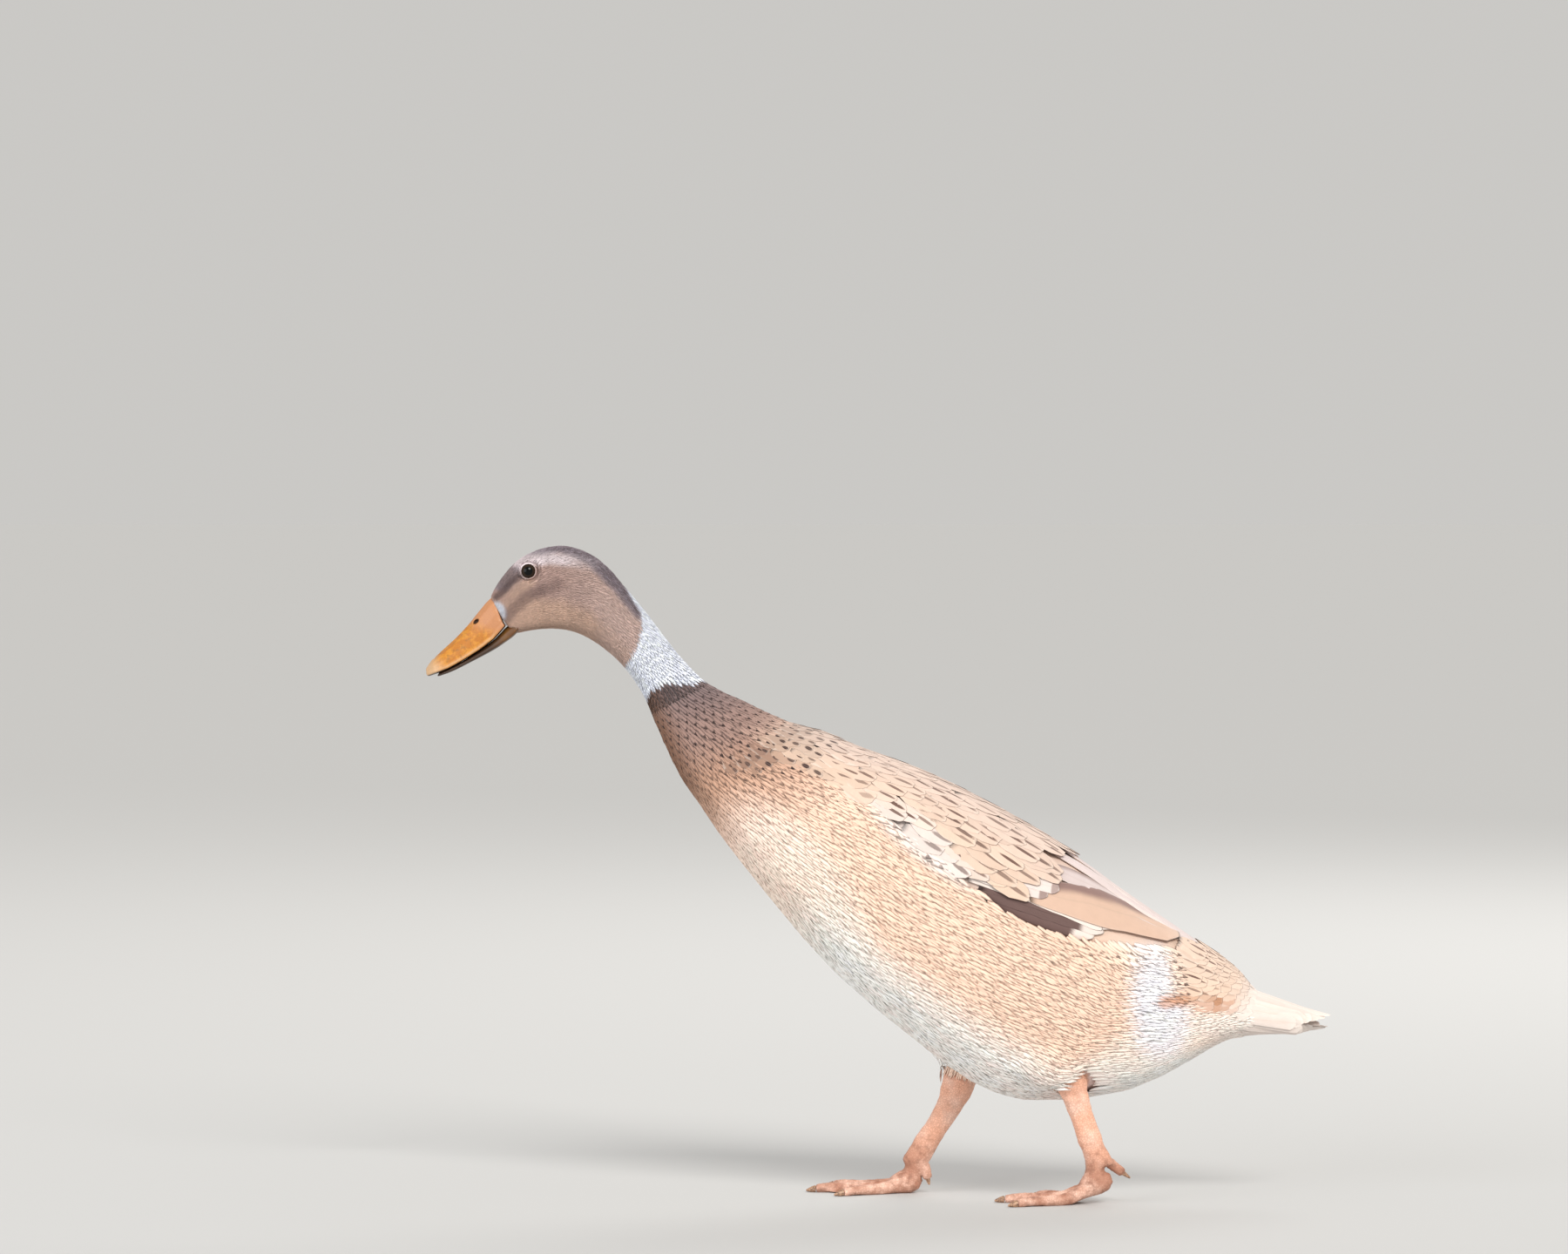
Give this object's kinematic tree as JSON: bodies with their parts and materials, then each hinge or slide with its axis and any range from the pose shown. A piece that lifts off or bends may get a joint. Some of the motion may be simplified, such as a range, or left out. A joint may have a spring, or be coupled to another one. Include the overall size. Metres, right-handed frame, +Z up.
{
  "type": "indian runner duck",
  "caption": "Slender upright duck in mid stride, long neck stretched forward, folded wings, short pointed tail and webbed feet flat on the floor.",
  "frame": {"origin": "on the floor, under the middle of the bird's bounding box", "axes": "the bird faces -X, its left side is at -Y, +Z is up"},
  "size_m": [0.5832, 0.1284, 0.4218],
  "materials": {
    "plumage": "soft matte feathers, fawn and cream",
    "hood": "fine matte feathers, grey-brown with a pale stripe over the eye",
    "collar": "fine matte feathers, white",
    "speckled": "fine matte feathers, buff-brown with dark flecks",
    "wing": "matte feathers, fawn with dark shafts and pale edges",
    "bill": "satin horn, orange-yellow mottled brown",
    "eye": "wet gloss, nearly black",
    "leg_skin": "satin scaled skin, orange-pink",
    "claw": "satin horn, pale brown"
  },
  "bodies": {
    "root": {"head": "hood", "neck_upper": "hood", "neck_collar": "collar", "neck_lower": "speckled", "trunk": "plumage", "tail": "plumage", "wing_left": "wing", "wing_right": "wing", "thigh_left": "plumage", "thigh_right": "plumage", "bill_upper": "bill", "bill_lower": "bill", "eye_left": "eye", "eye_right": "eye", "leg_left": "leg_skin", "foot_left": "leg_skin", "claw_inner_left": "claw", "claw_middle_left": "claw", "claw_outer_left": "claw", "claw_hind_left": "claw", "leg_right": "leg_skin", "foot_right": "leg_skin", "claw_inner_right": "claw", "claw_middle_right": "claw", "claw_outer_right": "claw", "claw_hind_right": "claw"}
  },
  "joints": []
}
